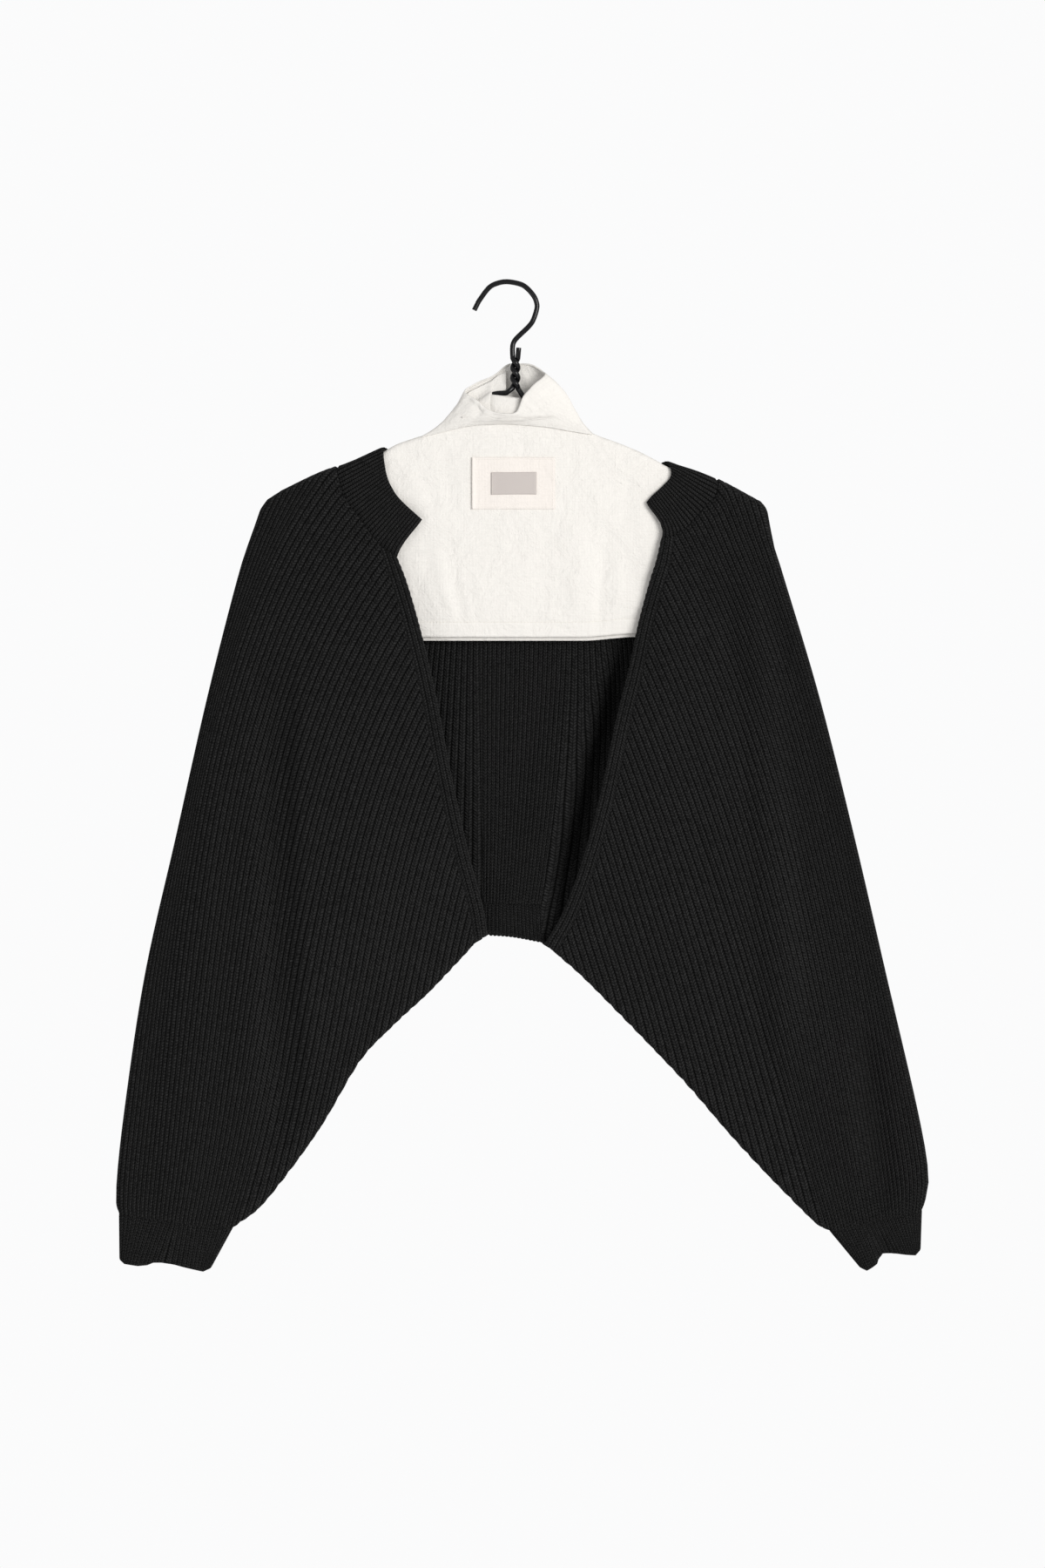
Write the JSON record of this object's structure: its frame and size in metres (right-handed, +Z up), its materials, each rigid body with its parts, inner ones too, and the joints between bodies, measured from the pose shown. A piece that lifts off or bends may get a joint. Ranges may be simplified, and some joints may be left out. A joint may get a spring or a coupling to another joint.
{
  "type": "knitted shrug on covered wire hanger",
  "caption": "Ribbed knitted shrug with dolman sleeves, hanging open over a wire hanger in a cotton cover.",
  "frame": {"origin": "underside of the hook's crown, where the hook sits on what holds it, in the plane of the hanger's wire", "axes": "+Z up, +X towards the wearer's left sleeve, and the front of the shrug faces -Y"},
  "size_m": [0.6501, 0.0547, 0.7969],
  "materials": {
    "front_right": "matte black half-cardigan rib knit",
    "front_left": "matte black half-cardigan rib knit",
    "front_right_sleeve": "matte black half-cardigan rib knit",
    "back_right_sleeve": "matte black half-cardigan rib knit",
    "back_right": "matte black half-cardigan rib knit",
    "back_middle": "matte black half-cardigan rib knit",
    "back_left": "matte black half-cardigan rib knit",
    "back_left_sleeve": "matte black half-cardigan rib knit",
    "neckband": "matte black fine rib knit",
    "front_trim_right": "matte black rolled knit edging",
    "front_trim_left": "matte black rolled knit edging",
    "hem_band": "matte black fine rib knit",
    "cuff_right": "matte black fine rib knit",
    "cuff_left": "matte black fine rib knit",
    "hanger_wire": "gloss black painted steel wire",
    "cover_front": "matte cream plain-weave cotton",
    "cover_back": "matte cream plain-weave cotton",
    "cover_neck": "matte cream plain-weave cotton",
    "label_patch": "matte cream plain-weave cotton",
    "label": "matte grey woven label, bare"
  },
  "bodies": {
    "root": {"front_right": "front_right", "front_left": "front_left", "front_right_sleeve": "front_right_sleeve", "back_right_sleeve": "back_right_sleeve", "back_right": "back_right", "back_middle": "back_middle", "back_left": "back_left", "back_left_sleeve": "back_left_sleeve", "neckband": "neckband", "front_trim_right": "front_trim_right", "front_trim_left": "front_trim_left", "hem_band": "hem_band", "cuff_right": "cuff_right", "cuff_left": "cuff_left", "hanger_wire": "hanger_wire", "cover_front": "cover_front", "cover_back": "cover_back", "cover_neck": "cover_neck", "label_patch": "label_patch", "label": "label"}
  },
  "joints": []
}
